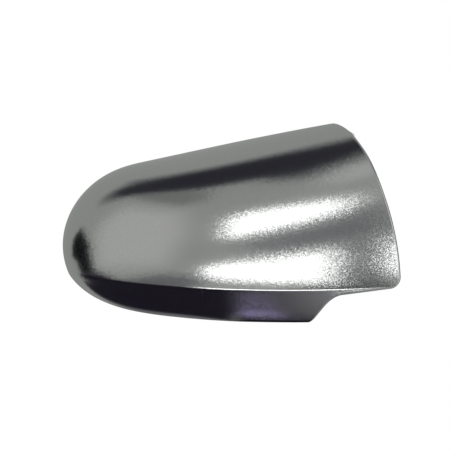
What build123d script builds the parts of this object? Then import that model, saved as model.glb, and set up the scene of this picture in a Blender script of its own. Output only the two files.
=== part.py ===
# Wing mirror cover: the clip-on outer shell of a right-hand door mirror, moulded in one piece and plated.
# The frame is the cover as it sits on the car: +X towards the door, +Y back into the housing, +Z up.
# The origin is on the axis of the main locating peg, where that axis meets the plane of the rear rim.
import os
from math import asin, atan, cos, degrees, hypot, radians, sin, sqrt, tan

from build123d import *

# Shell wall, and the plane of the rear rim, which leans forward at the bottom and turns back outboard
WALL = 2.5
RIM_LEAN = 13.5
RIM_YAW = 9.0
EDGE_BREAK = 1.0

# The rounded outboard end starts at the pole, the inboard end is open, and the sections hang on an axis
POLE_X = -120.2
INBOARD_X = 122.0
AXIS_Y = 27.0
SOFTNESS = 2.6

# Crown of the face in plan
FACE_DEPTH = 80.0
DEPTH_RUN = 135.0
CROWN_X = 35.0
CROWN_RADIUS = 420.0

# Half height of the face, and the height of its foremost line
FACE_HEIGHT = 51.4
FACE_RISE = 0.177
HEIGHT_RUN = 58.5
MIDDLE_Z = -21.5
MIDDLE_RISE = 0.043

# Crease under the face, an arc in front view, and the flat belly that turns back below it
CREASE_Z = -44.3
CREASE_X = 30.0
CREASE_BOW = 1100.0
INNER_CREASE_RADIUS = 0.5
BELLY_TILT = 52.6
BELLY_X = -22.0
BELLY_EASE = 185.0
BELLY_RUN = 60.0

# Inboard end in front view: shoulder at the top, bowed end edge, tab over the arm, notch for the arm
SHOULDER = (82.0, 59.6)
SHOULDER_SLOPE = 43.0
END_BOW = 218.0
TAB_CORNER = (111.5, -42.5)
TAB_RADIUS = 6.0
NOTCH_CORNER = (66.6, -48.3)
NOTCH_RADIUS = 16.0
NOTCH_SLOPE = 53.5
RIM_CORNER_RADIUS = 4.0

# Snap hooks along the rim: a point in front view, and the way from it to the wall that the hook stands by
TOP_HOOKS = ((-48.0, 0.0, 90.0), (32.0, 0.0, 90.0))
BELLY_HOOKS = ((-45.0, -20.0, -90.0), (18.0, -20.0, -90.0))
END_HOOKS = ((-80.0, -12.0, 180.0),)
HOOK_INSET = 5.0
HOOK_WIDTH = 10.0
HOOK_THICKNESS = 2.2
HOOK_REACH = 6.0
HOOK_BARB = 1.8
HOOK_BARB_LENGTH = 4.5
HOOK_BARB_LAND = 1.0

# Pairs of ribs beside each hook, on which the edge of the housing stops
RIB_THICKNESS = 1.6
RIB_PITCH = 11.0
RIB_REACH = 6.0
RIB_SETBACK = 2.0

# Locating pegs in front view, the first on the origin, each a stepped boss on crossed gussets
PEGS = ((0.0, 0.0), (-72.0, -14.0))
PEG_RADIUS = 2.5
PEG_REACH = 8.0
PEG_CHAMFER = 0.8
BOSS_RADIUS = 4.0
BOSS_SETBACK = 4.0
GUSSET_THICKNESS = 1.6
GUSSET_REACH = 11.0
GUSSET_DROP = 8.0
GUSSET_FALL = 16.0

# Loft stations, closer together towards the rounded end
STATIONS = 12
STATION_POWER = 1.8
STATION_START = 0.8
SLOPE_STEP = 0.01
HALVINGS = 50


def rounding(reach, run):
    """Share of the full size that a rounded end has at this distance from its pole."""
    left = max(0.0, 1 - reach / run)
    return sqrt(1 - left**SOFTNESS)


def face_depth(x):
    crown = FACE_DEPTH - (x - CROWN_X) ** 2 / (2 * CROWN_RADIUS)
    return crown * rounding(x - POLE_X, DEPTH_RUN)


def face_height(x):
    reach = x - POLE_X
    return (FACE_HEIGHT + FACE_RISE * reach) * rounding(reach, HEIGHT_RUN)


def middle_z(x):
    return MIDDLE_Z + MIDDLE_RISE * (x - POLE_X)


def rim_y(x, z):
    return z * tan(radians(RIM_LEAN)) - x * tan(radians(RIM_YAW))


def root(function, low, high):
    """Where a rising function crosses zero."""
    for _ in range(HALVINGS):
        half = (low + high) / 2
        if function(half) < 0:
            low = half
        else:
            high = half
    return high


def inside(line, x, inset):
    """Value at x of the line that runs parallel to a given one, inset towards the axis."""

    def slope(at):
        return atan((line(at + SLOPE_STEP) - line(at)) / SLOPE_STEP)

    foot = root(lambda at: at + inset * sin(slope(at)) - x, max(POLE_X, x - inset), x + inset)
    return line(foot) - inset * cos(slope(foot))


def belly_line(x):
    """The turn below the foremost line at which the crease lies, its point, and the belly's tilt."""
    z = CREASE_Z + (x - CREASE_X) ** 2 / (2 * CREASE_BOW)
    turn = asin(min(1.0, (middle_z(x) - z) / face_height(x)))
    y = AXIS_Y - face_depth(x) * cos(turn)
    return turn, y, z, radians(BELLY_TILT * (1 - ((x - BELLY_X) / BELLY_EASE) ** 2))


def belly_depth(x, y, z):
    """How far a point lies above the outer belly, square to it in section."""
    _, crease_y, crease_z, tilt = belly_line(x)
    return (y - crease_y) * cos(tilt) + (z - crease_z) * sin(tilt)


def stations(inset):
    """Places of the sections along X, from just behind the rim at the rounded end to the open end."""
    pole = POLE_X + inset
    tip = root(lambda x: inside(face_depth, x, inset) - AXIS_Y + rim_y(x, middle_z(x)), pole, INBOARD_X)
    first = pole + STATION_START * (tip - pole)
    steps = [(i / STATIONS) ** STATION_POWER for i in range(STATIONS + 1)]
    return [first + (INBOARD_X + inset - first) * step for step in steps]


def section(x, inset):
    """Section of the filled cover: elliptic face, round of the crease, belly, and a line behind the rim."""
    depth = inside(face_depth, x, inset)
    height = inside(face_height, x, inset)
    middle = middle_z(x)
    crease, _, _, tilt = belly_line(x)
    radius = INNER_CREASE_RADIUS + WALL - inset

    def facing(turn):
        return atan(tan(turn) * depth / height)

    def centre(turn):
        y = AXIS_Y - depth * cos(turn) + radius * cos(facing(turn))
        return y, middle - height * sin(turn) + radius * sin(facing(turn))

    turn = root(lambda at: inset + radius - belly_depth(x, *centre(at)), 0, crease)
    with BuildSketch(Plane.YZ.offset(x)) as sketch:
        with BuildLine():
            face = EllipticalCenterArc((AXIS_Y, middle), depth, height, 90, arc_size=90 + degrees(turn))
            start = facing(turn)
            blend = CenterArc(centre(turn), radius, 180 + degrees(start), degrees(tilt - start))
            belly = PolarLine(blend @ 1, BELLY_RUN, direction=blend % 1)
            Line(belly @ 1, face @ 0)
        make_face()
    return sketch.sketch.face()


def filled(inset):
    """The filled cover, inset from the outer skin and continued behind the rim."""
    with BuildPart() as body:
        loft(sections=[section(x, inset) for x in stations(inset)])
    return body.part


def cavity_edge(x, z):
    """Below zero where the point of the rim plane at x and z lies inside the cavity."""
    y = rim_y(x, z)
    across = (AXIS_Y - y) / inside(face_depth, x, WALL)
    upright = (z - middle_z(x)) / inside(face_height, x, WALL)
    return max(hypot(across, upright) - 1, WALL - belly_depth(x, y, z))


def wall_seat(x, z, turn, aside):
    """Plane across the rim where it meets the cavity wall, its first axis out through the wall."""
    out = Vector(cos(radians(turn)), 0, sin(radians(turn)))
    along = out.cross(Vector(0, 1, 0))
    start = Vector(x, 0, z) + along * aside
    reach = root(lambda far: cavity_edge(start.X + far * out.X, start.Z + far * out.Z), 0, start.X - POLE_X)
    place = start + out * reach
    return Plane(origin=(place.X, rim_y(place.X, place.Z), place.Z), x_dir=out, z_dir=along)


def hook(x, z, turn):
    """Snap hook beside the wall, with its barb turned to the wall, and its two ribs."""
    front = -HOOK_INSET
    catch = HOOK_REACH - HOOK_BARB_LENGTH
    with BuildPart() as clip:
        with BuildSketch(wall_seat(x, z, turn, 0)) as profile:
            with BuildLine():
                Polyline(
                    (front - HOOK_THICKNESS, -FACE_DEPTH),
                    (front - HOOK_THICKNESS, HOOK_REACH),
                    (front, HOOK_REACH),
                    (front + HOOK_BARB, catch + HOOK_BARB_LAND),
                    (front + HOOK_BARB, catch),
                    (front, catch),
                    (front, -FACE_DEPTH),
                    close=True,
                )
            make_face()
        extrude(profile.sketch, HOOK_WIDTH / 2, both=True)
        for aside in (-RIB_PITCH, RIB_PITCH):
            with BuildSketch(wall_seat(x, z, turn, aside)) as rib:
                with Locations((0, -RIB_SETBACK)):
                    Rectangle(RIB_REACH, FACE_DEPTH, align=Align.MAX)
            extrude(rib.sketch, RIB_THICKNESS / 2, both=True)
    return clip.part


def peg(x, z):
    """Stepped locating peg on crossed gussets, running straight back from the face."""
    seat = Plane(origin=(x, rim_y(x, z), z), x_dir=(1, 0, 0), z_dir=(0, 1, 0))
    with BuildPart() as post:
        with BuildSketch(seat.offset(-BOSS_SETBACK)) as boss:
            Circle(BOSS_RADIUS)
        extrude(boss.sketch, -FACE_DEPTH)
        with BuildSketch(seat.offset(-BOSS_SETBACK)) as pin:
            Circle(PEG_RADIUS)
        extrude(pin.sketch, BOSS_SETBACK + PEG_REACH)
        chamfer(post.faces().sort_by(Axis.Y)[-1].edges(), PEG_CHAMFER)
        for across in (Vector(1, 0, 0), Vector(0, 0, 1)):
            upright = Plane(origin=seat.origin, x_dir=across, z_dir=across.cross(Vector(0, 1, 0)))
            low = -GUSSET_DROP - GUSSET_FALL
            with BuildSketch(upright) as gusset:
                with BuildLine():
                    Polyline(
                        (-GUSSET_REACH, -FACE_DEPTH),
                        (-GUSSET_REACH, low),
                        (-BOSS_RADIUS, -GUSSET_DROP),
                        (BOSS_RADIUS, -GUSSET_DROP),
                        (GUSSET_REACH, low),
                        (GUSSET_REACH, -FACE_DEPTH),
                        close=True,
                    )
                make_face()
            extrude(gusset.sketch, GUSSET_THICKNESS / 2, both=True)
    return post.part


rim = Plane(
    origin=(0, 0, 0),
    x_dir=(1, -tan(radians(RIM_YAW)), 0),
    z_dir=(tan(radians(RIM_YAW)), 1, -tan(radians(RIM_LEAN))),
)
far = INBOARD_X + FACE_DEPTH

with BuildSketch(Plane.XZ) as front_outline:
    ridge = (SHOULDER[0] - (far - SHOULDER[1]) / tan(radians(SHOULDER_SLOPE)), far)
    foot = (NOTCH_CORNER[0] - (far + NOTCH_CORNER[1]) / tan(radians(NOTCH_SLOPE)), -far)
    with BuildLine():
        Line(ridge, SHOULDER)
        RadiusArc(SHOULDER, TAB_CORNER, END_BOW)
        Polyline(TAB_CORNER, NOTCH_CORNER, foot, (-far, -far), (-far, far), ridge)
    make_face()
    fillet(front_outline.vertices().sort_by_distance(SHOULDER)[0], TAB_RADIUS)
    fillet(front_outline.vertices().sort_by_distance(TAB_CORNER)[0], TAB_RADIUS)
    fillet(front_outline.vertices().sort_by_distance(NOTCH_CORNER)[0], NOTCH_RADIUS)

# Everything ahead of the rim and outboard of the end, with the corners between the two rounded
with BuildPart() as trim:
    extrude(front_outline.sketch, FACE_DEPTH, both=True)
    split(bisect_by=rim, keep=Keep.BOTTOM)
    rim_edges = trim.faces().filter_by(Axis((0, 0, 0), rim.z_dir))[0].edges()
    fillet(rim_edges.filter_by(GeomType.ELLIPSE).sort_by(SortBy.LENGTH)[-1], RIM_CORNER_RADIUS)

# Where the fittings may lie: from the middle of the wall inwards, or behind the rim
with BuildPart() as room:
    Box(2 * far, 2 * far, 2 * far)
    split(bisect_by=rim, keep=Keep.TOP)
    add(filled(WALL / 2))

with BuildPart() as fittings:
    for place in TOP_HOOKS + BELLY_HOOKS + END_HOOKS:
        add(hook(*place))
    for place in PEGS:
        add(peg(*place))
    add(room.part, mode=Mode.INTERSECT)

with BuildPart() as cover:
    add(filled(0))
    add(filled(WALL), mode=Mode.SUBTRACT)
    add(trim.part, mode=Mode.INTERSECT)
    # The edge break runs on from the end along the whole outer rim
    skin = cover.faces().sort_by(SortBy.AREA)[-1]
    end = cover.faces().filter_by(GeomType.CYLINDER).sort_by(SortBy.AREA)[-1]
    chamfer(skin.edges() & end.edges(), EDGE_BREAK)
    add(fittings.part)

os.makedirs("parts", exist_ok=True)
cover.part.label = "mirror_cover"
export_step(cover.part, "parts/mirror_cover.step")
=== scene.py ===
"""Looks, stage and camera for a satin-chrome wing mirror cover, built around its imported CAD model."""

import bmesh
import bpy
import numpy as np
from bpy.props import FloatProperty, FloatVectorProperty, PointerProperty
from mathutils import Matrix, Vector


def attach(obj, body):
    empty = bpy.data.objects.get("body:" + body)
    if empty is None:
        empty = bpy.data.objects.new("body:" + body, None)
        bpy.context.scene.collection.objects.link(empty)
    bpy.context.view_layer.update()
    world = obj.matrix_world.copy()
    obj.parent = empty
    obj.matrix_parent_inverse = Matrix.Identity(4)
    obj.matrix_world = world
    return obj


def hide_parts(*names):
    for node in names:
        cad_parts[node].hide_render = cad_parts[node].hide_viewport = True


bl_info = {
    "name": "Wing mirror cover",
    "version": (1, 0, 0),
    "blender": (4, 5, 0),
    "location": "3D View > Sidebar > Mirror cover",
    "description": "Builds a plated wing mirror cover and the studio that it is shown in",
    "category": "Add Mesh",
}

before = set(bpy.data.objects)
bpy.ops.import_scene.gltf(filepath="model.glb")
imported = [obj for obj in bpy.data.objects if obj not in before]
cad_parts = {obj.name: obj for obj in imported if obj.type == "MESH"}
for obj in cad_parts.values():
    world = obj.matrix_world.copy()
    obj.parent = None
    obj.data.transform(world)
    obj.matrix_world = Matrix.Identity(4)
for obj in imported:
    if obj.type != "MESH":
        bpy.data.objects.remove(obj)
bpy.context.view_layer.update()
CAD_NODE = "mirror_cover"
BODY = "root"
MM = 0.001

# Form of the outer skin, in metres and in the frame of the CAD model: +X is towards the door, +Y to the rear
# and +Z up. The sections are ellipses that grow from a pole at the outboard end.
POLE_X = -120.2 * MM
AXIS_Y = 27.0 * MM
SOFTNESS = 2.6
DEPTH_RUN = 135.0 * MM
CROWN_X = 35.0 * MM
CROWN_RADIUS = 420.0 * MM
FACE_HEIGHT = 51.4 * MM
FACE_RISE = 0.177
HEIGHT_RUN = 58.5 * MM
MIDDLE_Z = -21.5 * MM
MIDDLE_RISE = 0.043

# Crease under the face, which opens out towards the outboard end, and the belly that turns back below it,
# less and less towards the two ends
CREASE_Z = -44.3 * MM
CREASE_X = 30.0 * MM
CREASE_BOW = 1100.0 * MM
CREASE_OPEN_X = -70.0 * MM
CREASE_OPENING = 40.0 * MM
CREASE_GROWTH = 4.0
BELLY_X = -22.0 * MM
BELLY_EASE_OUTBOARD = 150.0 * MM
BELLY_EASE_INBOARD = 185.0 * MM

# Roll of the skin towards the rear rim round the outboard end, fading out along the cover, and the gentler
# roll of the belly that takes over from it
ROLL_DEPTH = 2.2 * MM
ROLL_WIDTH = 8.0 * MM
ROLL_END_X = 5.0 * MM
ROLL_FADE = 40.0 * MM
BELLY_ROLL_DEPTH = 0.8 * MM
BELLY_ROLL_WIDTH = 14.0 * MM

# Plane of the rear rim, and the inboard end in front view: a shoulder with a small step in its slope, an edge
# that bows more in its upper part, a tab, a notch for the arm, and the blends that round their corners
RIM_LEAN = np.radians(13.5)
RIM_YAW = np.radians(9.0)
SHOULDER = np.array((82.0, 59.6)) * MM
SHOULDER_SLOPE = np.radians(43.0)
SHOULDER_STEP = 0.6 * MM
SHOULDER_STEP_X = 79.5 * MM
SHOULDER_STEP_RUN = 3.0 * MM
END_BULGE = 1.8 * MM
END_BULGE_RUN = 20.0 * MM
TAB_CORNER = np.array((111.5, -42.5)) * MM
NOTCH_CORNER = np.array((66.6, -48.3)) * MM
NOTCH_SLOPE = np.radians(53.5)
SHOULDER_BLEND = 0.6 * MM
NOTCH_BLEND = 7.3 * MM
TOP_CORNER_BLEND = 4.0 * MM
FOOT_CORNER_BLEND = 2.2 * MM

# Snap hooks along the rim: a point in front view in millimetres, and the way from it, in degrees, to the wall
# that the hook stands by
HOOKS = (
    (-48.0, 0.0, 90.0),
    (32.0, 0.0, 90.0),
    (-45.0, -20.0, -90.0),
    (18.0, -20.0, -90.0),
    (-80.0, -12.0, 180.0),
)
HOOK_INSET = 5.0 * MM
HOOK_THICKNESS = 2.2 * MM
HOOK_REACH = 6.0 * MM
HOOK_BARB = 1.8 * MM
HOOK_BARB_LENGTH = 4.5 * MM
HOOK_BARB_LAND = 1.0 * MM

# Pairs of ribs beside each hook
RIB_THICKNESS = 1.6 * MM
RIB_PITCH = 11.0 * MM
RIB_REACH = 6.0 * MM
RIB_SETBACK = 2.0 * MM

# Locating pegs in front view in millimetres, each a stepped boss on crossed gussets
PEGS = ((0.0, 0.0), (-72.0, -14.0))
PEG_REACH = 8.0 * MM
PEG_CHAMFER = 0.8 * MM
BOSS_RADIUS = 4.0 * MM
BOSS_SETBACK = 4.0 * MM
GUSSET_THICKNESS = 1.6 * MM
GUSSET_REACH = 11.0 * MM
GUSSET_DROP = 8.0 * MM
GUSSET_FALL = 16.0 * MM

# Round on the edges of hooks, ribs and pegs, with the profile of a circle
FITTING_ROUND = 0.25 * MM
FITTING_PROFILE = 0.5
FITTING_STEPS = 3

# Steps of the meshes: along the cover, down the face, round the crease, down the belly, round an edge,
# round a peg, and along the foot of a rib or gusset
COLUMNS = 320
FACE_ROWS = 64
CREASE_ROWS = 6
BELLY_ROWS = 14
EDGE_STEPS = 6
PEG_SIDES = 32
FOOT_STEPS = 8

# Halvings of a search, how near the pole the tip is searched for, how far down the rim is, the step that a
# slope is measured over, how close points are merged, and the angle from which an edge is sharp
HALVINGS = 45
POLE_GAP = 1.0 * MM
RIM_SEARCH = 90.0 * MM
PROBE = 0.005 * MM
MERGE = 0.002 * MM
SHARP_ANGLE = np.radians(35.0)

# Finish of the plating: its roughness seen square on and along the surface, how far its grain tilts the
# surface, the slant from which it counts as seen along the surface, how much the grain darkens it, the real
# width of the grain, how much coarser it is drawn so that it shows, and the turn in radians that takes it out
# of line with the axes
SATIN_HAZE = (0.18, 0.10)
SATIN_TILT = 0.04
DULL_HAZE = (0.42, 0.34)
DULL_TILT = 0.05
GRAZING_FROM = 0.6
GRAIN_SHADE = 0.06
GRAIN_WIDTH = 0.1 * MM
GRAIN_COARSER = 5.0
GRAIN_TURN = (0.5, 0.7, 0.3)

# Camera: where it stands, how wide the picture is at the depth of the origin, and the width of its sensor
CAMERA_PLACE = (-4.4 * MM, -1250.0 * MM, -1.4 * MM)
PICTURE_WIDTH = 306.0 * MM
SENSOR_WIDTH = 36.0

# Studio: a white floor below the cover, of whose white a shadow can take the given shade, a grey tent round
# the cover with its foot just above the floor, and a key lamp
FLOOR_Z = -0.85
FLOOR_SIZE = 30.0
FLOOR_SHADE = 0.25
TENT_RADIUS = 1.6
TENT_LIFT = 0.003
TENT_SEGMENTS = 48
TENT_GREY = "#a0a2a0"
CEILING_GREY = "#2e2e36"
FRONT_GREY = "#747477"
TABLE_GREY = "#757478"
KEY_PLACE = (-0.3, -0.4, 1.3)
KEY_SIZE = 0.9
KEY_POWER = 6.0

# Boards and softboxes inside the tent, seen only in the plating: corners by azimuth and elevation from the
# cover in degrees, distance, colour, glow, the share of their size over which they fade out, and the colour
# that they fade into where it isn't the tent's. Azimuth 0 is towards the camera and 90 towards the door.
BOARDS = {
    "dark_ceiling": dict(
        corners=((-180, 79), (-165, 75.5), (-150, 72), (-130, 63.5), (-120, 57.5), (-110, 53), (-103, 41))
        + ((-96, 36), (-89, 43), (-80, 56), (-60, 64.5), (-40, 72), (-20, 72.5), (-13, 71.5))
        + ((-6, 66), (-1, 62), (10, 71), (30, 73), (90, 77), (140, 79)),
        distance=1.2,
        colour=CEILING_GREY,
        fade=0.5,
    ),
    "ceiling_core": dict(
        corners=((-180, 83), (-130, 79), (-90, 76.5), (-45, 77), (0, 74), (20, 77), (60, 80), (120, 83)),
        distance=1.19,
        colour="#0e0e14",
        fade=0.5,
        surround=CEILING_GREY,
    ),
    "ceiling_haze": dict(
        corners=((-82, 48), (-50, 47), (-38, 53), (-46, 63), (-70, 62), (-82, 55)),
        distance=1.23,
        colour="#7e807e",
        fade=0.5,
    ),
    "ceiling_gap": dict(
        corners=((6, 66), (28, 66), (28, 50), (10, 50)),
        distance=1.25,
        colour="#bcbdbc",
        fade=0.6,
    ),
    "dark_post": dict(
        corners=((-98, 15), (-92, 11), (-85, 4), (-83, -10), (-80, -24))
        + ((-94, -24), (-96, -8), (-102, -3), (-103, 7)),
        distance=1.2,
        colour="#08080c",
        fade=0.2,
    ),
    "light_wall": dict(
        corners=((-82, -14), (-42, -18), (-34, 15), (-42, 40), (-74, 39), (-82, 20)),
        distance=1.25,
        colour="#bebfbd",
        fade=0.6,
    ),
    "outboard_shade": dict(
        corners=((-70, -26), (-45, -27), (-26, -33), (-26, -52), (-70, -52)),
        distance=1.22,
        colour="#6e6e70",
        fade=0.35,
    ),
    "front_shade": dict(
        corners=((-7, 3), (-1, -8), (12, -1), (26, 4), (26, 28), (17, 24)),
        distance=1.22,
        colour=FRONT_GREY,
        fade=0.5,
    ),
    "front_core": dict(
        corners=((-3, 1), (3, -6), (9, -2), (9, 6), (4, 9)),
        distance=1.215,
        colour="#0a0a0c",
        fade=0.6,
        surround=FRONT_GREY,
    ),
    "inboard_shade": dict(
        corners=((17, -1), (27, -1), (27, -34), (17, -34)),
        distance=1.24,
        colour="#505054",
        fade=0.25,
    ),
    "crease_shade": dict(
        corners=((8, -40), (15, -37), (22, -33), (30, -30), (32, -49), (8, -49)),
        distance=1.19,
        colour="#2a2a2d",
        fade=0.2,
    ),
    "upper_softbox": dict(
        corners=((-15, 10.5), (-8, 10.5), (3, 18.5), (13.5, 24.5), (17.2, 31))
        + ((13.5, 36.5), (-8, 36.5), (-15, 31.5)),
        distance=1.2,
        colour="#ffffff",
        glow=2.2,
        fade=0.3,
    ),
    "lower_softbox": dict(
        corners=((-25, -26), (-18, -20), (0, -15.3), (9, -8.2), (15.5, -5.2))
        + ((15, -20), (14.5, -35.5), (0, -38.5), (-14, -38), (-24, -33)),
        distance=1.2,
        colour="#ffffff",
        glow=2.2,
        fade=0.22,
    ),
    "door_softbox": dict(
        corners=((28.2, 0), (42, 0), (42, -22), (28.2, -22)),
        distance=1.2,
        colour="#ffffff",
        glow=2.2,
        fade=0.4,
    ),
    "crease_softbox": dict(
        corners=((-36, -48), (45, -48), (45, -74), (-36, -74)),
        distance=0.35,
        colour="#ffffff",
        glow=3.0,
        fade=0.1,
    ),
    "door_wall": dict(
        corners=((48, -35), (80, -35), (80, 45), (48, 45)),
        distance=1.2,
        colour="#e6e6e6",
        fade=0.2,
    ),
    "rear_softbox": dict(
        corners=((128, -30), (158, -30), (158, 35), (128, 35)),
        distance=1.2,
        colour="#ffffff",
        glow=1.5,
        fade=0.2,
    ),
    "door_shade": dict(
        corners=((90, -30), (125, -30), (125, 50), (90, 50)),
        distance=1.2,
        colour="#1c1c20",
        fade=0.2,
    ),
}

# Boards lying under the cover, each a little above the one before: corners in plan, height, colour, fade, and
# the colour that they fade into
TABLES = {
    "grey_table": dict(
        corners=((-0.20, -0.16), (0.14, -0.16), (0.14, 0.25), (-0.20, 0.25)),
        height=-0.314,
        colour=TABLE_GREY,
        fade=0.5,
        surround=TENT_GREY,
    ),
    "dark_table": dict(
        corners=((-1.05, -0.20), (0.018, -0.20), (0.018, 0.125), (-1.05, 0.125)),
        height=-0.312,
        colour="#1f1c26",
        fade=0.22,
        surround=TABLE_GREY,
    ),
    "lilac_card": dict(
        corners=((-0.020, 0.047), (0.001, 0.029), (0.024, 0.009))
        + ((0.017, 0.030), (-0.005, 0.053), (-0.024, 0.069)),
        height=-0.310,
        colour="#a79bc8",
        fade=0.7,
        surround="#4a484f",
    ),
    "rear_card": dict(
        corners=((-0.024, 0.066), (-0.006, 0.056), (0.011, 0.036), (0.020, 0.024), (0.030, 0.011))
        + ((0.045, -0.005), (0.09, 0.0), (0.09, 0.15), (-0.024, 0.15)),
        height=-0.309,
        colour="#16141a",
        fade=0.3,
        surround=TABLE_GREY,
    ),
}


def linear(colour):
    """Linear RGBA of an sRGB hex colour, by the curve of the sRGB standard."""
    channels = np.array([int(colour[i : i + 2], 16) for i in (1, 3, 5)]) / 255
    straight = np.where(channels <= 0.04045, channels / 12.92, ((channels + 0.055) / 1.055) ** 2.4)
    return (*straight.tolist(), 1.0)


class CoverSettings(bpy.types.PropertyGroup):
    """Sizes and colours of the cover."""

    wall: FloatProperty(
        name="Wall",
        description="Thickness of the moulded shell",
        default=2.5 * MM,
        unit="LENGTH",
    )
    face_depth: FloatProperty(
        name="Face depth",
        description="Depth of the face in front of its axis, at the crown",
        default=80.0 * MM,
        unit="LENGTH",
    )
    crease_radius: FloatProperty(
        name="Crease radius",
        description="Round of the crease between the face and the belly",
        default=3.0 * MM,
        unit="LENGTH",
    )
    belly_tilt: FloatProperty(
        name="Belly tilt",
        description="Angle at which the belly turns back under the face",
        default=np.radians(52.6),
        subtype="ANGLE",
    )
    rim_round: FloatProperty(
        name="Rim round",
        description="Width of the rounded edge along the rear rim",
        default=1.0 * MM,
        unit="LENGTH",
    )
    lip_round: FloatProperty(
        name="Lip round",
        description="Width of the rounded lip along the inboard end",
        default=1.6 * MM,
        unit="LENGTH",
    )
    end_bow: FloatProperty(
        name="End bow",
        description="Radius of the bowed inboard edge",
        default=218.0 * MM,
        unit="LENGTH",
    )
    tab_radius: FloatProperty(
        name="Tab radius",
        description="Radius of the corner of the tab over the arm",
        default=7.5 * MM,
        unit="LENGTH",
    )
    hook_width: FloatProperty(
        name="Hook width",
        description="Width of each snap hook along the rim",
        default=10.0 * MM,
        unit="LENGTH",
    )
    peg_radius: FloatProperty(
        name="Peg radius",
        description="Radius of the pin at the end of each locating peg",
        default=2.5 * MM,
        unit="LENGTH",
    )
    plating: FloatVectorProperty(
        name="Plating",
        description="Colour of the satin plating on the outside",
        default=linear("#d3d4d3"),
        size=4,
        subtype="COLOR",
    )
    inside: FloatVectorProperty(
        name="Inside",
        description="Colour of the dull plating inside the shell",
        default=linear("#c4c5c3"),
        size=4,
        subtype="COLOR",
    )


def crossing(function, low, high):
    """Where a rising function crosses zero, for each place of an array."""
    low, high = (np.array(edge, float) for edge in np.broadcast_arrays(low, high))
    for _ in range(HALVINGS):
        half = (low + high) / 2
        below = function(half) < 0
        low, high = np.where(below, half, low), np.where(below, high, half)
    return high


def smooth_min(first, second, width):
    """The lower of two lines with their corner rounded, and the share of the first line in it."""
    share = np.clip(0.5 + (second - first) / (2 * width), 0, 1)
    return second + (first - second) * share - width * share * (1 - share), share


def unit(vectors):
    """The vectors at a length of one."""
    return vectors / np.linalg.norm(vectors, axis=-1, keepdims=True)


def rounded_end(reach, run):
    """Share of its full size that the outboard end has at this distance from its pole."""
    return np.sqrt(1 - np.clip(1 - reach / run, 0, 1) ** SOFTNESS)


def face_depth(x, cover):
    """Depth of the face in front of its axis, at places along the cover."""
    crown = cover.face_depth - (x - CROWN_X) ** 2 / (2 * CROWN_RADIUS)
    return crown * rounded_end(x - POLE_X, DEPTH_RUN)


def face_height(x):
    """Half height of the ellipse of the face, at places along the cover."""
    return (FACE_HEIGHT + FACE_RISE * (x - POLE_X)) * rounded_end(x - POLE_X, HEIGHT_RUN)


def middle_z(x):
    """Height of the middle of that ellipse, at places along the cover."""
    return MIDDLE_Z + MIDDLE_RISE * (x - POLE_X)


def rim_y(x, z):
    """Depth of the plane of the rear rim, at places in front view."""
    return z * np.tan(RIM_LEAN) - x * np.tan(RIM_YAW)


def crease_radius(x, cover):
    """Radius of the crease, which opens out where it runs into the outboard end."""
    opened = np.clip((CREASE_OPEN_X - x) / CREASE_OPENING, 0, 1)
    return cover.crease_radius * (1 + CREASE_GROWTH * opened**2)


def crease(x, cover):
    """Height at which the face ends, centre of the crease's round, and tilt of the belly below it."""
    depth, height, middle = face_depth(x, cover), face_height(x), middle_z(x)
    corner_z = CREASE_Z + (x - CREASE_X) ** 2 / (2 * CREASE_BOW)
    corner = np.arcsin(np.clip((middle - corner_z) / height, -1, 1))
    corner_y = AXIS_Y - depth * np.cos(corner)
    ease = np.where(x < BELLY_X, BELLY_EASE_OUTBOARD, BELLY_EASE_INBOARD)
    tilt = cover.belly_tilt * (1 - ((x - BELLY_X) / ease) ** 2)
    radius = crease_radius(x, cover)

    def centre(turn):
        facing = np.arctan2(depth * np.sin(turn), height * np.cos(turn))
        y = AXIS_Y - depth * np.cos(turn) + radius * np.cos(facing)
        return y, middle - height * np.sin(turn) + radius * np.sin(facing)

    def sunk(turn):
        y, z = centre(turn)
        return radius - (y - corner_y) * np.cos(tilt) - (z - corner_z) * np.sin(tilt)

    # The round touches the face where it starts, and the belly where it ends
    turn = crossing(sunk, np.zeros_like(corner), corner)
    return middle - height * np.sin(turn), *centre(turn), tilt


def skin(x, z, cover):
    """Depth of the outer skin at places in front view: face, round of the crease, belly."""
    face_foot, round_y, round_z, tilt = crease(x, cover)
    radius = crease_radius(x, cover)
    lift = np.clip((z - middle_z(x)) / face_height(x), -1, 1)
    face = AXIS_Y - face_depth(x, cover) * np.sqrt(1 - lift**2)
    bend = round_y - np.sqrt(np.clip(radius**2 - (z - round_z) ** 2, 0, None))
    belly = round_y - (radius + (z - round_z) * np.sin(tilt)) / np.cos(tilt)
    y = np.where(z > face_foot, face, np.where(z > round_z - radius * np.sin(tilt), bend, belly))
    to_rim = rim_y(x, z) - y
    fade = np.clip((ROLL_END_X - x) / ROLL_FADE, 0, 1)
    end_roll = ROLL_DEPTH * fade * np.clip(1 - to_rim / ROLL_WIDTH, 0, None) ** 2
    belly_roll = BELLY_ROLL_DEPTH * (1 - fade) * np.clip(1 - to_rim / BELLY_ROLL_WIDTH, 0, None) ** 2
    return y + end_roll + np.where(z < round_z, belly_roll, 0)


def skin_points(x, z, cover):
    """Points of the outer skin and its outward normals at places in front view."""
    along = (skin(x + PROBE, z, cover) - skin(x - PROBE, z, cover)) / (2 * PROBE)
    up = (skin(x, z + PROBE, cover) - skin(x, z - PROBE, cover)) / (2 * PROBE)
    points = np.stack((x, skin(x, z, cover), z), -1)
    return points, unit(np.stack((along, -np.ones_like(along), up), -1))


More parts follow.
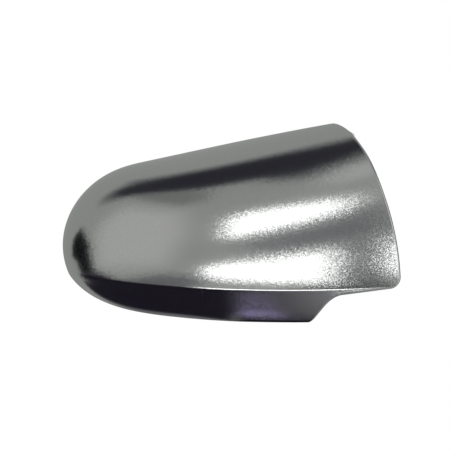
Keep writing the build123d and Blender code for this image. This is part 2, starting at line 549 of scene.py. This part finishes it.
def inboard_end(cover):
    """Upper and lower line of the inboard end in front view, as functions of x, and where they meet."""
    chord = TAB_CORNER - SHOULDER
    across = np.array((chord[1], -chord[0])) / np.linalg.norm(chord)
    to_centre = np.sqrt(cover.end_bow**2 - (np.linalg.norm(chord) / 2) ** 2)
    centre = (SHOULDER + TAB_CORNER) / 2 + across * to_centre
    tab_slope = (TAB_CORNER[1] - NOTCH_CORNER[1]) / (TAB_CORNER[0] - NOTCH_CORNER[0])
    lift = cover.tab_radius * np.hypot(1, tab_slope)

    def tab(x):
        return NOTCH_CORNER[1] + (x - NOTCH_CORNER[0]) * tab_slope

    def beyond(x):
        return np.hypot(x - centre[0], tab(x) + lift - centre[1]) - (cover.end_bow - cover.tab_radius)

    # The round of the tab's corner touches the bowed edge and the line of the tab
    corner_x = float(crossing(beyond, NOTCH_CORNER[0], TAB_CORNER[0]))
    corner_z = tab(corner_x) + lift
    bow_end = corner_x + cover.tab_radius * (corner_x - centre[0]) / (cover.end_bow - cover.tab_radius)
    tab_end = corner_x + cover.tab_radius * tab_slope / np.hypot(1, tab_slope)

    def corner(x):
        return np.sqrt(np.clip(cover.tab_radius**2 - (x - corner_x) ** 2, 0, None))

    def upper(x):
        step = np.clip((x - SHOULDER_STEP_X) / SHOULDER_STEP_RUN, 0, 1)
        slope = SHOULDER[1] + (SHOULDER[0] - x) * np.tan(SHOULDER_SLOPE)
        slope += SHOULDER_STEP * step**2 * (3 - 2 * step)
        edge = centre[1] + np.sqrt(np.clip(cover.end_bow**2 - (x - centre[0]) ** 2, 0, None))
        edge += END_BULGE * np.sin(np.pi * np.clip((x - SHOULDER[0]) / END_BULGE_RUN, 0, 1)) ** 2
        return np.where(x > bow_end, corner_z + corner(x), smooth_min(slope, edge, SHOULDER_BLEND)[0])

    def lower(x):
        notch = NOTCH_CORNER[1] - (NOTCH_CORNER[0] - x) * np.tan(NOTCH_SLOPE)
        return np.where(x > tab_end, corner_z - corner(x), smooth_min(notch, tab(x), NOTCH_BLEND)[0])

    return upper, lower, corner_x + cover.tab_radius


def rim_summit(x, cover):
    """Height at which the face stands furthest in front of the rear rim."""
    lean = np.tan(RIM_LEAN) * face_height(x) / face_depth(x, cover)
    return middle_z(x) + face_height(x) * lean / np.hypot(1, lean)


def rounded_edges(cover):
    """Strips along the upper and the lower edge: the steps of the round from the skin, and the inner edge."""
    upper, lower, end_x = inboard_end(cover)

    def ahead(x, z):
        return skin(x, z, cover) - rim_y(x, z)

    near_pole = np.array(POLE_X + POLE_GAP)
    tip = float(crossing(lambda x: -ahead(x, rim_summit(x, cover)), near_pole, 0.0))
    # The columns stand closer together towards the two ends of the cover
    turn = np.linspace(0, np.pi, COLUMNS + 1)
    x = tip + (end_x - tip) * (1 - np.cos(turn)) / 2
    summit = rim_summit(x, cover)
    rim_top = crossing(lambda z: ahead(x, z), summit, middle_z(x) + face_height(x))
    rim_low = summit - crossing(lambda drop: ahead(x, summit - drop), 0, RIM_SEARCH)
    rim_normal = unit(np.array((np.tan(RIM_YAW), 1, -np.tan(RIM_LEAN))))

    strips = []
    sides = ((1, rim_top, upper, TOP_CORNER_BLEND), (-1, rim_low, lower, FOOT_CORNER_BLEND))
    for side, rim_z, end, blend in sides:
        edge_z, rim_share = smooth_min(side * rim_z, side * end(x), blend)
        slope = (end(x) - end(x - PROBE)) / PROBE
        end_normal = unit(np.stack((-side * slope, 0 * x, side + 0 * x), -1))
        share = rim_share[:, None]
        cut = unit(share * rim_normal + (1 - share) * end_normal)
        edge, outward = skin_points(x, side * edge_z, cover)
        width = cover.rim_round * share + cover.lip_round * (1 - share)
        cosine = np.sum(outward * cut, -1, keepdims=True)
        radius = width * np.sqrt((1 + cosine) / (1 - cosine))
        centre = edge - radius * (outward + cut) / (1 + cosine)
        angle = np.arccos(cosine)
        # The round turns evenly from the way out of the skin to the way out of the cut
        steps = [
            (np.sin(angle * (1 - part)) * outward + np.sin(angle * part) * cut) / np.sin(angle)
            for part in np.linspace(0, 1, EDGE_STEPS + 1)
        ]
        inner = edge + (cosine * cut - outward) * cover.wall / (1 - cosine**2)
        strips.append([centre + radius * step for step in steps] + [inner])
    # The two strips meet at both ends of the cover
    for high, low in zip(*strips):
        high[[0, -1]] = low[[0, -1]] = (high[[0, -1]] + low[[0, -1]]) / 2
    return strips


def skin_rows(top, low, cover):
    """Rows of places in front view from the upper strip to the lower one, closer round the crease."""
    middle_x = (top[:, 0] + low[:, 0]) / 2
    face_foot, _, round_z, tilt = crease(middle_x, cover)
    belly_top = round_z - crease_radius(middle_x, cover) * np.sin(tilt)
    foot = np.clip(face_foot, low[:, 2], top[:, 2])
    bend = np.clip(belly_top, low[:, 2], foot)
    middle, height = middle_z(middle_x), face_height(middle_x)
    start, stop = (np.arcsin(np.clip((z - middle) / height, -1, 1)) for z in (top[:, 2], foot))
    rows = [middle + height * np.sin(start + (stop - start) * i / FACE_ROWS) for i in range(FACE_ROWS)]
    rows += [foot + (bend - foot) * i / CREASE_ROWS for i in range(CREASE_ROWS)]
    rows += [bend + (low[:, 2] - bend) * i / BELLY_ROWS for i in range(BELLY_ROWS + 1)]
    z = np.array(rows)
    z[0] = top[:, 2]
    fall = (top[:, 2] - z) / np.maximum(top[:, 2] - low[:, 2], MERGE)
    return top[:, 0] + (low[:, 0] - top[:, 0]) * fall, z


def finished_piece(name, form, *finishes):
    """Object made from a form: normals turned out, sharp edges marked, riding on the cover's body."""
    bmesh.ops.recalc_face_normals(form, faces=form.faces)
    mesh = bpy.data.meshes.new(name)
    form.to_mesh(mesh)
    form.free()
    mesh.shade_smooth()
    mesh.set_sharp_from_angle(angle=SHARP_ANGLE)
    for finish in finishes:
        mesh.materials.append(finish)
    piece = bpy.data.objects.new(name, mesh)
    bpy.context.collection.objects.link(piece)
    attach(piece, BODY)
    return piece


def wall_y(places, cover):
    """Depth of the middle of the wall at places in front view."""
    points, normals = skin_points(places[..., 0], places[..., 2], cover)
    return points[..., 1] - cover.wall / 2 / normals[..., 1]


def into_wall(places, cover):
    """The places moved along Y to the middle of the wall."""
    sunk = np.array(places)
    sunk[..., 1] = wall_y(sunk, cover)
    return sunk


def wall_seat(x, z, turn, aside, cover):
    """Place where the rim's plane meets the inner wall, the way out through the wall and the way along it."""
    out = np.array((np.cos(np.radians(turn)), 0, np.sin(np.radians(turn))))
    along = np.cross(out, (0, 1, 0))
    start = np.array((x * MM, 0, z * MM)) + along * aside

    def past(far):
        place = start + far * out
        points, normals = skin_points(place[0], place[2], cover)
        return cover.wall + (rim_y(place[0], place[2]) - points[1]) * normals[1]

    place = start + out * crossing(past, 0.0, start[0] - POLE_X)
    place[1] = rim_y(place[0], place[2])
    return place, out, along


def add_prism(form, near, far):
    """Closed prism between two like outlines."""
    near, far = ([form.verts.new(point) for point in outline] for outline in (near, far))
    form.faces.new(near[::-1])
    form.faces.new(far)
    for i in range(len(near)):
        form.faces.new((near[i - 1], near[i], far[i], far[i - 1]))


def add_hook(form, x, z, turn, cover):
    """Snap hook beside the wall, with its barb turned to the wall."""
    place, out, along = wall_seat(x, z, turn, 0, cover)
    front, back = -HOOK_INSET, -HOOK_INSET - HOOK_THICKNESS
    catch = HOOK_REACH - HOOK_BARB_LENGTH
    blade = [(back, HOOK_REACH), (front, HOOK_REACH), (front + HOOK_BARB, catch + HOOK_BARB_LAND)]
    blade += [(front + HOOK_BARB, catch), (front, catch)]
    sides = []
    for side in (-along, along):
        corner = place + side * cover.hook_width / 2
        feet = into_wall([corner + out * back, corner + out * front], cover)
        rear = [corner + out * reach + np.array((0, y, 0)) for reach, y in blade]
        sides.append([feet[0], *rear, feet[1]])
    add_prism(form, *sides)


def add_rib(form, x, z, turn, aside, cover):
    """Rib from the wall, on which the edge of the housing stops."""
    place, out, along = wall_seat(x, z, turn, aside, cover)
    top = place[1] - RIB_SETBACK
    reach = crossing(lambda far: wall_y(place + far * out, cover) - top, -RIB_REACH, 0.0)
    foot = into_wall([place + out * far for far in np.linspace(reach, -RIB_REACH, FOOT_STEPS)], cover)
    corner = place - out * RIB_REACH
    corner[1] = top
    outline = np.array([corner, *foot])
    add_prism(form, outline - along * RIB_THICKNESS / 2, outline + along * RIB_THICKNESS / 2)


def add_peg(form, x, z, cover):
    """Stepped locating peg on crossed gussets, running straight back from the face."""
    seat = np.array((x * MM, rim_y(x * MM, z * MM), z * MM))
    turns = np.linspace(0, 2 * np.pi, PEG_SIDES, endpoint=False)
    ring = np.stack((np.cos(turns), 0 * turns, np.sin(turns)), -1)
    rear = np.array((0, 1, 0))
    rings = [into_wall(seat + ring * BOSS_RADIUS, cover)]
    steps = [(BOSS_RADIUS, -BOSS_SETBACK), (cover.peg_radius, -BOSS_SETBACK)]
    steps += [(cover.peg_radius, PEG_REACH - PEG_CHAMFER), (cover.peg_radius - PEG_CHAMFER, PEG_REACH)]
    rings += [seat + ring * radius + rear * y for radius, y in steps]
    rings = [[form.verts.new(point) for point in points] for points in rings]
    for low, high in zip(rings, rings[1:]):
        for i in range(PEG_SIDES):
            form.faces.new((low[i - 1], low[i], high[i], high[i - 1]))
    form.faces.new(rings[0])
    form.faces.new(rings[-1])

    shoulder = -GUSSET_DROP - GUSSET_FALL
    web = [(-GUSSET_REACH, shoulder), (-BOSS_RADIUS, -GUSSET_DROP)]
    web += [(BOSS_RADIUS, -GUSSET_DROP), (GUSSET_REACH, shoulder)]
    for across in (np.array((1, 0, 0)), np.array((0, 0, 1))):
        reaches = np.linspace(GUSSET_REACH, -GUSSET_REACH, FOOT_STEPS)
        foot = into_wall([seat + across * reach for reach in reaches], cover)
        outline = np.array([seat + across * reach + rear * y for reach, y in web] + [*foot])
        half = np.cross(across, rear) * GUSSET_THICKNESS / 2
        add_prism(form, outline - half, outline + half)


def node(tree, kind, inputs=None, **settings):
    """Adds a node with its settings; each input is a value or the socket that it is linked to."""
    made = tree.nodes.new(kind)
    for name, value in settings.items():
        setattr(made, name, value)
    for socket, value in (inputs or {}).items():
        if isinstance(value, bpy.types.NodeSocket):
            tree.links.new(value, made.inputs[socket])
        else:
            made.inputs[socket].default_value = value
    return made


def blank_tree(holder):
    """Empty node tree of a material or world."""
    holder.use_nodes = True
    holder.node_tree.nodes.clear()
    return holder.node_tree


def chrome_plating(name, colour, haze, tilt):
    """Chrome with a blasted grain under it; the haze is given seen square on and along the surface."""
    if name in bpy.data.materials:
        return bpy.data.materials[name]
    material = bpy.data.materials.new(name)
    tree = blank_tree(material)
    # The real grain is too fine to show in the picture, so it is drawn coarser
    place = node(tree, "ShaderNodeTexCoord").outputs["Object"]
    turned = node(tree, "ShaderNodeMapping", {"Vector": place, "Rotation": GRAIN_TURN}).outputs[0]
    scale = 1 / (GRAIN_COARSER * GRAIN_WIDTH)
    cells = node(tree, "ShaderNodeTexVoronoi", {"Vector": turned, "Scale": scale})
    grain = cells.outputs["Color"]

    # At a grazing angle the plating is clearer, and its grain fades
    slant = node(tree, "ShaderNodeLayerWeight").outputs["Facing"]
    gloss = {"Value": slant, "From Max": GRAZING_FROM}
    rough = node(tree, "ShaderNodeMapRange", {**gloss, "To Min": haze[0], "To Max": haze[1]}).outputs[0]
    lean = node(tree, "ShaderNodeMapRange", {**gloss, "To Min": tilt, "To Max": 0.0}).outputs[0]

    # Each grain is a facet with a tilt of its own, from -1 to 1 along each axis, so that it shows a lamp a
    # little earlier or later than the next one does
    whole_range = {0: grain, 1: (2, 2, 2), 2: (-1, -1, -1)}
    facet = node(tree, "ShaderNodeVectorMath", whole_range, operation="MULTIPLY_ADD")
    shift = node(tree, "ShaderNodeVectorMath", {0: facet.outputs[0], "Scale": lean}, operation="SCALE")
    smooth = node(tree, "ShaderNodeNewGeometry").outputs["Normal"]
    leaning = node(tree, "ShaderNodeVectorMath", {0: smooth, 1: shift.outputs[0]}, operation="ADD")
    leaning = node(tree, "ShaderNodeVectorMath", {0: leaning.outputs[0]}, operation="NORMALIZE")

    # Each grain is also a little darker or lighter than the next one
    dimmed = (*(channel * (1 - GRAIN_SHADE) for channel in colour[:3]), 1.0)
    amount = node(tree, "ShaderNodeSeparateColor", {"Color": grain}).outputs["Red"]
    shades = {"Factor": amount, "A": dimmed, "B": colour[:]}
    shade = node(tree, "ShaderNodeMix", shades, data_type="RGBA")
    plate = node(
        tree,
        "ShaderNodeBsdfPrincipled",
        {
            "Base Color": shade.outputs["Result"],
            "Metallic": 1.0,
            "Roughness": rough,
            "Normal": leaning.outputs[0],
        },
    )
    node(tree, "ShaderNodeOutputMaterial", {"Surface": plate.outputs["BSDF"]})
    return material


def satin_chrome(cover):
    """Satin chrome electroplated on the polished outside of the ABS moulding."""
    # The fine grain under the plating scatters the lamps into soft, speckled patches where the surface faces
    # the eye. At a grazing angle the plating is nearly as clear as a mirror.
    return chrome_plating("satin_chrome_plated_abs", cover.plating, SATIN_HAZE, SATIN_TILT)


def dull_chrome(cover):
    """Chrome electroplated on the unpolished inside of the ABS moulding."""
    # The eroded surface of the mould's core leaves the plating dull, so that the hollow shows soft shades of
    # grey and no clear reflections
    return chrome_plating("dull_chrome_plated_abs", cover.inside, DULL_HAZE, DULL_TILT)


def moulded_inside(name, form, cover):
    """Fittings inside the shell, with their edges rounded as moulded."""
    bmesh.ops.recalc_face_normals(form, faces=form.faces)
    edges = [edge for edge in form.edges if edge.calc_face_angle() > SHARP_ANGLE]
    bmesh.ops.bevel(
        form,
        geom=edges,
        offset=FITTING_ROUND,
        segments=FITTING_STEPS,
        profile=FITTING_PROFILE,
        affect="EDGES",
    )
    finished_piece(name, form, dull_chrome(cover))


def direction(azimuth, elevation):
    """Way from the cover to a place in the studio: azimuth 0 is towards the camera, 90 to the door."""
    turn, rise = np.radians(azimuth), np.radians(elevation)
    return Vector((np.sin(turn) * np.cos(rise), -np.cos(turn) * np.cos(rise), np.sin(rise)))


def only_reflected(name, mesh, material):
    """Stage object that neither lights nor shades the floor, and that the camera looks through."""
    material.cycles.emission_sampling = "NONE"
    mesh.materials.append(material)
    board = bpy.data.objects.new(name, mesh)
    board.visible_camera = board.visible_diffuse = False
    board.visible_shadow = board.visible_transmission = False
    bpy.context.collection.objects.link(board)


def studio_board(name, rim, colour, fade, glow=1.0, surround=TENT_GREY):
    """Board or softbox that shows in the plating only, fading into its surroundings along its edge."""
    middle = sum(rim, Vector()) / len(rim)
    scales = (1 - fade / 2, 1 + fade / 2)
    rings = [[middle + (corner - middle) * scale for corner in rim] for scale in scales]
    count = len(rim)
    turns = [(i, (i + 1) % count) for i in range(count)]
    faces = [(0, i + 1, j + 1) for i, j in turns]
    faces += [(i + 1, i + 1 + count, j + 1 + count, j + 1) for i, j in turns]
    mesh = bpy.data.meshes.new(name)
    mesh.from_pydata([middle, *rings[0], *rings[1]], [], faces)
    bright = np.array(linear(colour)) * (glow, glow, glow, 1)
    shades = np.array([bright] * (count + 1) + [linear(surround)] * count)
    mesh.color_attributes.new("shade", "FLOAT_COLOR", "POINT").data.foreach_set("color", shades.ravel())
    material = bpy.data.materials.new(name)
    tree = blank_tree(material)
    shade = node(tree, "ShaderNodeAttribute", attribute_name="shade")
    light = node(tree, "ShaderNodeEmission", {"Color": shade.outputs["Color"], "Strength": 1.0})
    node(tree, "ShaderNodeOutputMaterial", {"Surface": light.outputs["Emission"]})
    only_reflected(name, mesh, material)


def front_camera():
    """Camera in front of the cover, looking straight to the rear."""
    view = bpy.data.cameras.new("camera")
    view.sensor_width = SENSOR_WIDTH
    view.lens = SENSOR_WIDTH * -CAMERA_PLACE[1] / PICTURE_WIDTH
    camera = bpy.data.objects.new("camera", view)
    camera.location = CAMERA_PLACE
    camera.rotation_euler = (np.pi / 2, 0, 0)
    bpy.context.collection.objects.link(camera)
    return camera


def white_backdrop():
    """Plain white all round, which lights the floor evenly."""
    world = bpy.data.worlds.new("white_backdrop")
    world.cycles.sampling_method = "NONE"
    tree = blank_tree(world)
    white = node(tree, "ShaderNodeBackground", {"Color": (1, 1, 1, 1), "Strength": 1.0})
    node(tree, "ShaderNodeOutputWorld", {"Surface": white.outputs["Background"]})
    return world


def key_lamp():
    """Soft lamp above the front of the cover, which throws its shadow on the floor."""
    key = bpy.data.lights.new("key_lamp", "AREA")
    key.size = KEY_SIZE
    key.energy = KEY_POWER
    lamp = bpy.data.objects.new("key_lamp", key)
    lamp.location = KEY_PLACE
    lamp.rotation_euler = (-lamp.location).to_track_quat("-Z", "Y").to_euler()
    lamp.visible_camera = lamp.visible_glossy = False
    bpy.context.collection.objects.link(lamp)


def white_floor():
    """Matt floor, lifted to white for the camera and the plating, with the cover's shadow left on it."""
    material = bpy.data.materials.new("matt_white_floor")
    tree = blank_tree(material)
    path = node(tree, "ShaderNodeLightPath").outputs
    seen = path["Is Camera Ray"]
    for ray in ("Is Glossy Ray", "Is Transmission Ray"):
        seen = node(tree, "ShaderNodeMath", {0: seen, 1: path[ray]}, operation="MAXIMUM").outputs[0]
    lift = node(tree, "ShaderNodeMath", {0: seen, 1: 1 - FLOOR_SHADE}, operation="MULTIPLY")
    light = node(tree, "ShaderNodeEmission", {"Strength": lift.outputs[0]})
    paint = node(tree, "ShaderNodeBsdfDiffuse", {"Color": (FLOOR_SHADE, FLOOR_SHADE, FLOOR_SHADE, 1)})
    both = node(tree, "ShaderNodeAddShader", {0: light.outputs[0], 1: paint.outputs[0]})
    node(tree, "ShaderNodeOutputMaterial", {"Surface": both.outputs[0]})
    half = FLOOR_SIZE / 2
    corners = [(x * half, y * half, FLOOR_Z) for x, y in ((-1, -1), (1, -1), (1, 1), (-1, 1))]
    mesh = bpy.data.meshes.new("floor")
    mesh.from_pydata(corners, [], [(0, 1, 2, 3)])
    mesh.materials.append(material)
    floor = bpy.data.objects.new("floor", mesh)
    bpy.context.collection.objects.link(floor)


def studio_tent():
    """Grey cloth tent round the cover, with its foot just above the floor."""
    form = bmesh.new()
    rings = TENT_SEGMENTS // 2
    bmesh.ops.create_uvsphere(form, u_segments=TENT_SEGMENTS, v_segments=rings, radius=TENT_RADIUS)
    for vertex in form.verts:
        vertex.co.z = max(vertex.co.z, FLOOR_Z + TENT_LIFT)
    mesh = bpy.data.meshes.new("studio_tent")
    form.to_mesh(mesh)
    form.free()
    material = bpy.data.materials.new("grey_tent_cloth")
    tree = blank_tree(material)
    light = node(tree, "ShaderNodeEmission", {"Color": linear(TENT_GREY), "Strength": 1.0})
    node(tree, "ShaderNodeOutputMaterial", {"Surface": light.outputs["Emission"]})
    only_reflected("studio_tent", mesh, material)


class COVER_OT_shell(bpy.types.Operator):
    """Builds the double-curved shell with its crease, belly, rounded rim and open inboard end"""

    bl_idname = "mirror_cover.shell"
    bl_label = "Shell"

    def execute(self, context):
        cover = context.scene.mirror_cover
        upper, lower = rounded_edges(cover)
        x, z = skin_rows(upper[0], lower[0], cover)
        outside, normals = skin_points(x, z, cover)
        inside = outside - normals * cover.wall
        # Rows of points round the section: down the outside, round the lower edge, up the inside, and round
        # the upper edge
        ring = np.concatenate((outside, lower[1:], inside[::-1], upper[:0:-1]))
        around, columns = ring.shape[:2]
        row, column = np.meshgrid(np.arange(around), np.arange(columns - 1), indexing="ij")
        here, below = row * columns + column, (row + 1) % around * columns + column
        faces = np.stack((here, below, below + 1, here + 1), -1).reshape(-1, 4)
        # The faces from inner edge to inner edge take the finish of the inside
        inner_edge = len(outside) + len(lower) - 2
        hidden = (row >= inner_edge) & (row <= inner_edge + len(inside))
        mesh = bpy.data.meshes.new("shell_grid")
        mesh.from_pydata(ring.reshape(-1, 3).tolist(), [], faces.tolist())
        mesh.polygons.foreach_set("material_index", hidden.ravel().astype(np.int32))
        form = bmesh.new()
        form.from_mesh(mesh)
        bpy.data.meshes.remove(mesh)
        bmesh.ops.remove_doubles(form, verts=form.verts, dist=MERGE)
        bmesh.ops.dissolve_degenerate(form, edges=form.edges, dist=MERGE)
        if any(edge.is_boundary for edge in form.edges):
            raise RuntimeError("the shell is not closed")
        shell = finished_piece("cover_shell", form, satin_chrome(cover), dull_chrome(cover))
        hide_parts(CAD_NODE)
        return {"FINISHED"}


class COVER_OT_hooks(bpy.types.Operator):
    """Builds the snap hooks that hold the cover on its housing"""

    bl_idname = "mirror_cover.hooks"
    bl_label = "Snap hooks"

    def execute(self, context):
        cover = context.scene.mirror_cover
        form = bmesh.new()
        for hook in HOOKS:
            add_hook(form, *hook, cover)
        moulded_inside("snap_hooks", form, cover)
        return {"FINISHED"}


class COVER_OT_ribs(bpy.types.Operator):
    """Builds the pair of ribs beside each hook, on which the edge of the housing stops"""

    bl_idname = "mirror_cover.ribs"
    bl_label = "Ribs"

    def execute(self, context):
        cover = context.scene.mirror_cover
        form = bmesh.new()
        for hook in HOOKS:
            for aside in (-RIB_PITCH, RIB_PITCH):
                add_rib(form, *hook, aside, cover)
        moulded_inside("stop_ribs", form, cover)
        return {"FINISHED"}


class COVER_OT_pegs(bpy.types.Operator):
    """Builds the locating pegs and the crossed gussets that they stand on"""

    bl_idname = "mirror_cover.pegs"
    bl_label = "Locating pegs"

    def execute(self, context):
        cover = context.scene.mirror_cover
        form = bmesh.new()
        for peg in PEGS:
            add_peg(form, *peg, cover)
        moulded_inside("locating_pegs", form, cover)
        return {"FINISHED"}


class COVER_OT_stage(bpy.types.Operator):
    """Sets up the pale floor, the studio tent with its lamps and boards, and the camera"""

    bl_idname = "mirror_cover.stage"
    bl_label = "Stage"

    def execute(self, context):
        scene = context.scene
        scene.view_settings.view_transform = "Standard"
        scene.camera = front_camera()
        scene.world = white_backdrop()
        white_floor()
        studio_tent()
        for name, board in BOARDS.items():
            look = dict(board)
            corners, distance = look.pop("corners"), look.pop("distance")
            studio_board(name, [direction(*corner) * distance for corner in corners], **look)
        for name, table in TABLES.items():
            look = dict(table)
            corners, height = look.pop("corners"), look.pop("height")
            studio_board(name, [Vector((*corner, height)) for corner in corners], **look)
        key_lamp()
        return {"FINISHED"}


class COVER_PT_panel(bpy.types.Panel):
    """Lists the sizes and colours of the cover, and the steps that build it"""

    bl_idname = "COVER_PT_panel"
    bl_label = "Mirror cover"
    bl_space_type = "VIEW_3D"
    bl_region_type = "UI"
    bl_category = "Mirror cover"

    def draw(self, context):
        cover = context.scene.mirror_cover
        for name in CoverSettings.__annotations__:
            self.layout.prop(cover, name)
        for step in STEPS:
            self.layout.operator(step.bl_idname)


STEPS = (COVER_OT_shell, COVER_OT_hooks, COVER_OT_ribs, COVER_OT_pegs, COVER_OT_stage)
CLASSES = (CoverSettings, *STEPS, COVER_PT_panel)


def register():
    """Registers the classes and gives the scene its settings."""
    for kind in CLASSES:
        bpy.utils.register_class(kind)
    bpy.types.Scene.mirror_cover = PointerProperty(type=CoverSettings)


def unregister():
    """Takes the settings and the classes away again."""
    del bpy.types.Scene.mirror_cover
    for kind in reversed(CLASSES):
        bpy.utils.unregister_class(kind)


def main():
    """Builds the cover and its stage."""
    register()
    bpy.ops.mirror_cover.shell()
    bpy.ops.mirror_cover.hooks()
    bpy.ops.mirror_cover.ribs()
    bpy.ops.mirror_cover.pegs()
    bpy.ops.mirror_cover.stage()


if __name__ == "__main__":
    main()
